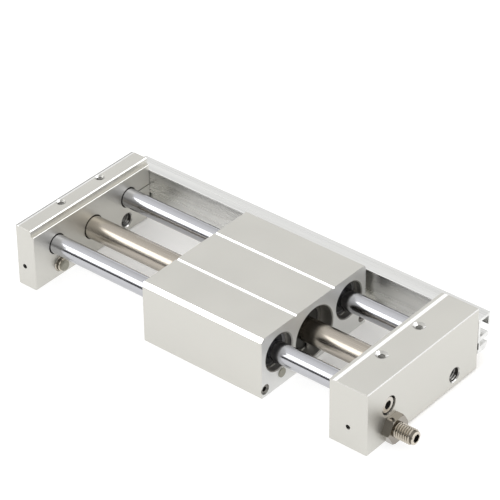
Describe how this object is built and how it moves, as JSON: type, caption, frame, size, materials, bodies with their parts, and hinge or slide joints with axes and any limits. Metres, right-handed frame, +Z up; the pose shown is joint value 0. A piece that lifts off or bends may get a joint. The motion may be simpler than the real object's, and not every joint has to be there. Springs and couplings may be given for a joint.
{
  "type": "rodless pneumatic cylinder",
  "caption": "Magnetically coupled rodless air cylinder: a guided slide block on two rods between end plates, with stroke adjust bolts and a slotted sensor rail.",
  "frame": {"origin": "middle of the part's length and depth, at the height of the slide block's load face, which the part rests on", "axes": "+X along the stroke, from the thin end plate to the thick one; +Y from the near side to the sensor rail; +Z up, away from the load face"},
  "size_m": [0.2422, 0.0932, 0.0345],
  "materials": {
    "anodised_aluminium": "satin clear anodised",
    "rail_aluminium": "drawn, brushed along its length",
    "plain_aluminium": "turned",
    "stainless_tube": "drawn, fine satin",
    "chromed_rod": "hard chromed and ground",
    "plated_bolt": "nickel plated",
    "plated_screw": "plated",
    "dark_screw": "black oxide",
    "bearing_steel": "hardened and ground",
    "spring_steel": "phosphated spring steel",
    "yoke_steel": "rolled steel",
    "magnet": "nickel plated magnet",
    "dark_resin": "moulded",
    "wear_resin": "wear resin",
    "black_rubber": "matt",
    "stop_rubber": "matt urethane"
  },
  "bodies": {
    "frame": {"end_plate_left": "anodised_aluminium", "end_plate_right": "anodised_aluminium", "cylinder_tube": "stainless_tube", "guide_rod_near": "chromed_rod", "guide_rod_far": "chromed_rod", "rod_screw_left": "plated_screw", "rod_screw_right": "plated_screw", "far_rod_set_screw": "dark_screw", "far_rod_clamp_screw": "plated_screw", "tube_seal_rings": "black_rubber", "rod_seal_rings": "black_rubber", "tube_end_cushions": "black_rubber", "crossway_plug": "dark_screw", "sensor_rail": "rail_aluminium", "rail_screws": "plated_screw", "lock_nut_left": "plated_bolt", "lock_nut_right": "plated_bolt"},
    "carriage": {"slide_block": "anodised_aluminium", "bushing_near_left": "bearing_steel", "bushing_near_right": "bearing_steel", "bushing_far_left": "bearing_steel", "bushing_far_right": "bearing_steel", "bushing_cages": "dark_resin", "bushing_seals": "black_rubber", "bushing_circlips": "spring_steel", "coupling_circlips": "spring_steel", "magnet_sleeve": "plain_aluminium", "outer_magnets": "magnet", "outer_yokes": "yoke_steel", "outer_wear_rings": "wear_resin", "tube_wipers": "black_rubber", "coupling_spacers": "plain_aluminium", "block_bumpers": "stop_rubber", "switch_magnet": "magnet", "magnet_plugs": "dark_screw"},
    "piston": {"piston_shaft": "yoke_steel", "inner_magnets": "magnet", "inner_yokes": "yoke_steel", "piston_left": "plain_aluminium", "piston_right": "plain_aluminium", "piston_seals": "black_rubber", "piston_wear_rings": "wear_resin", "piston_nuts": "plated_bolt", "piston_bumpers": "stop_rubber"},
    "adjust_bolt_left_body": {"adjust_bolt_left": "plated_bolt", "stop_tip_left": "stop_rubber"},
    "adjust_bolt_right_body": {"adjust_bolt_right": "plated_bolt", "stop_tip_right": "stop_rubber"}
  },
  "joints": [
    {"name": "carriage_slide", "type": "slide", "parent": "frame", "child": "carriage", "axis": [1, 0, 0], "range_m": [-0.06275, 0.03725]},
    {"name": "piston_slide", "type": "slide", "parent": "frame", "child": "piston", "axis": [1, 0, 0], "range_m": [-0.06275, 0.03725]},
    {"name": "adjust_bolt_left_travel", "type": "slide", "parent": "frame", "child": "adjust_bolt_left_body", "axis": [-1, 0, 0], "range_m": [0, 0.004]},
    {"name": "adjust_bolt_right_travel", "type": "slide", "parent": "frame", "child": "adjust_bolt_right_body", "axis": [1, 0, 0], "range_m": [0, 0.004]}
  ],
  "couplings": [
    {"joint": "piston_slide", "follows": "carriage_slide", "ratio": 1}
  ]
}
